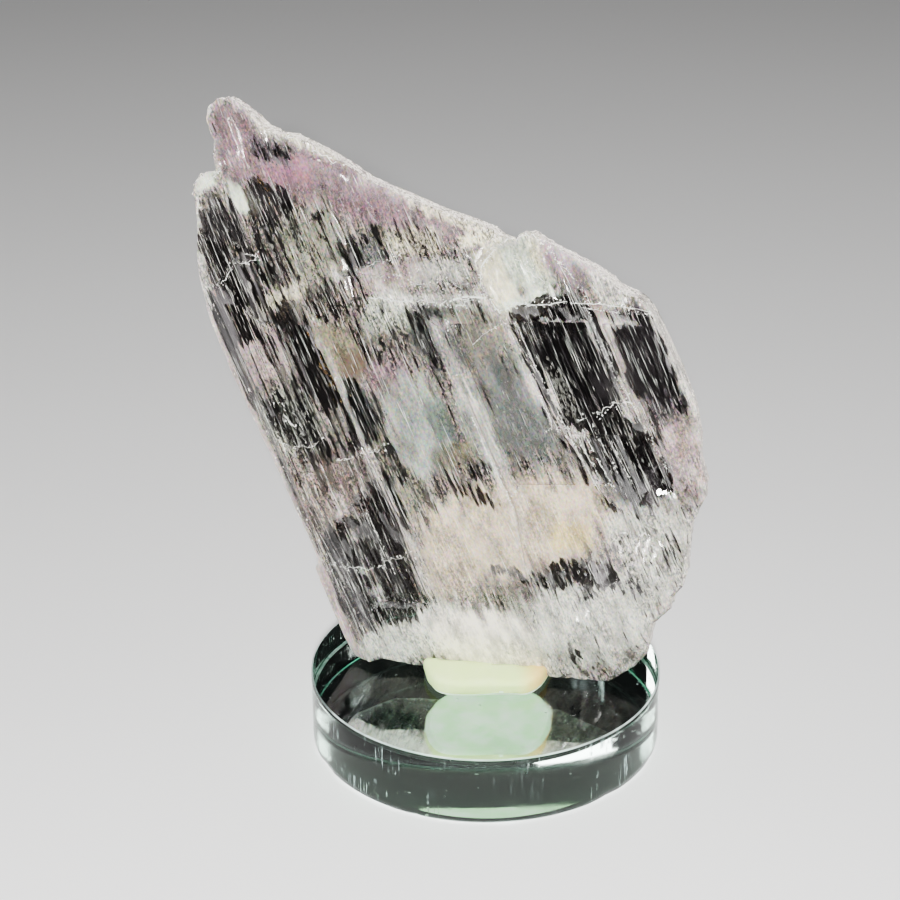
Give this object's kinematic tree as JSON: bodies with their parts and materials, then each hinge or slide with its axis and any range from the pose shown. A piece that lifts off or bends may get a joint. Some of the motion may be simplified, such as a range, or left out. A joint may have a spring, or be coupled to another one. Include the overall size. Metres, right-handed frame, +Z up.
{
  "type": "kunzite crystal",
  "caption": "Flattened, striated kunzite crystal blade leaning back in a pad of mounting putty on a round clear glass display base.",
  "frame": {"origin": "centre of the underside of the glass base", "axes": "+Z up through the glass base; -Y is the front, which the broad face of the crystal looks towards; +X to the right seen from the front"},
  "size_m": [0.0722, 0.0538, 0.0872],
  "materials": {
    "kunzite": "pale lilac-pink clear crystal, striated along its length, frosted and etched in places",
    "clear_glass": "clear polished glass with a faint green tint, a mirror-like underside and light scratches",
    "putty": "soft matte pale yellow-green mounting putty"
  },
  "bodies": {
    "root": {"kunzite_crystal": "kunzite", "glass_base": "clear_glass", "mounting_putty": "putty"}
  },
  "joints": []
}
